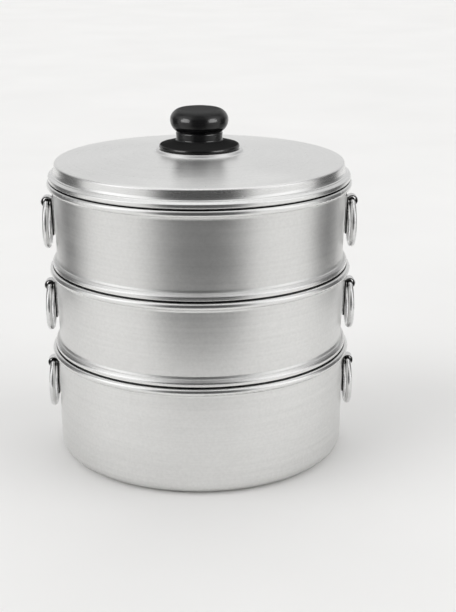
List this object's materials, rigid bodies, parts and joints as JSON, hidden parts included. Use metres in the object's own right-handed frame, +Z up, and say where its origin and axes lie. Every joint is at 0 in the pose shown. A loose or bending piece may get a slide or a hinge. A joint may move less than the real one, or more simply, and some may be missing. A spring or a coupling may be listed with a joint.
{
  "type": "stovetop steamer",
  "caption": "Stacking aluminium stovetop steamer: water pot, perforated tiers and domed lid with a black knob, each pan with swinging ring handles.",
  "frame": {"origin": "centre of the water pot's underside, on the surface the steamer stands on", "axes": "+Z up along the stack's axis, -Y towards the front, ring handles on +X and -X"},
  "size_m": [0.2958, 0.283, 0.3257],
  "materials": {
    "pan_aluminium": "satin, finely spun",
    "lid_aluminium": "satin, finely spun",
    "rivet_aluminium": "satin",
    "lug_steel": "polished",
    "ring_chrome": "bright",
    "knob_black": "glossy moulded",
    "insert_brass": "turned",
    "zinc_steel": "zinc plated"
  },
  "bodies": {
    "base": {"base_pot": "pan_aluminium", "base_lug_left": "lug_steel", "base_lug_right": "lug_steel", "base_rivets_left": "rivet_aluminium", "base_rivets_right": "rivet_aluminium"},
    "lower": {"lower_tier": "pan_aluminium", "lower_lug_left": "lug_steel", "lower_lug_right": "lug_steel", "lower_rivets_left": "rivet_aluminium", "lower_rivets_right": "rivet_aluminium"},
    "upper": {"upper_tier": "pan_aluminium", "upper_lug_left": "lug_steel", "upper_lug_right": "lug_steel", "upper_rivets_left": "rivet_aluminium", "upper_rivets_right": "rivet_aluminium"},
    "lid": {"lid": "lid_aluminium", "knob": "knob_black", "knob_insert": "insert_brass", "knob_washer": "zinc_steel", "knob_screw": "zinc_steel"},
    "base_ring_left": {"base_ring_left": "ring_chrome"},
    "base_ring_right": {"base_ring_right": "ring_chrome"},
    "lower_ring_left": {"lower_ring_left": "ring_chrome"},
    "lower_ring_right": {"lower_ring_right": "ring_chrome"},
    "upper_ring_left": {"upper_ring_left": "ring_chrome"},
    "upper_ring_right": {"upper_ring_right": "ring_chrome"}
  },
  "joints": [
    {"name": "lower_lift", "type": "slide", "parent": "base", "child": "lower", "axis": [0, 0, 1], "range_m": [0, 0.06]},
    {"name": "upper_lift", "type": "slide", "parent": "lower", "child": "upper", "axis": [0, 0, 1], "range_m": [0, 0.06]},
    {"name": "lid_lift", "type": "slide", "parent": "upper", "child": "lid", "axis": [0, 0, 1], "range_m": [0, 0.06]},
    {"name": "base_ring_left_swing", "type": "hinge", "parent": "base", "child": "base_ring_left", "pos_m": [-0.1426, 0, 0.0801], "axis": [0, 1, 0], "range_deg": [-3.7, 170]},
    {"name": "base_ring_right_swing", "type": "hinge", "parent": "base", "child": "base_ring_right", "pos_m": [0.1426, 0, 0.0801], "axis": [0, -1, 0], "range_deg": [-3.7, 170]},
    {"name": "lower_ring_left_swing", "type": "hinge", "parent": "lower", "child": "lower_ring_left", "pos_m": [-0.1426, 0, 0.1579], "axis": [0, 1, 0], "range_deg": [-6.2, 170]},
    {"name": "lower_ring_right_swing", "type": "hinge", "parent": "lower", "child": "lower_ring_right", "pos_m": [0.1426, 0, 0.1579], "axis": [0, -1, 0], "range_deg": [-6.2, 170]},
    {"name": "upper_ring_left_swing", "type": "hinge", "parent": "upper", "child": "upper_ring_left", "pos_m": [-0.1426, 0, 0.2385], "axis": [0, 1, 0], "range_deg": [-6.2, 177]},
    {"name": "upper_ring_right_swing", "type": "hinge", "parent": "upper", "child": "upper_ring_right", "pos_m": [0.1426, 0, 0.2385], "axis": [0, -1, 0], "range_deg": [-6.2, 177]}
  ]
}
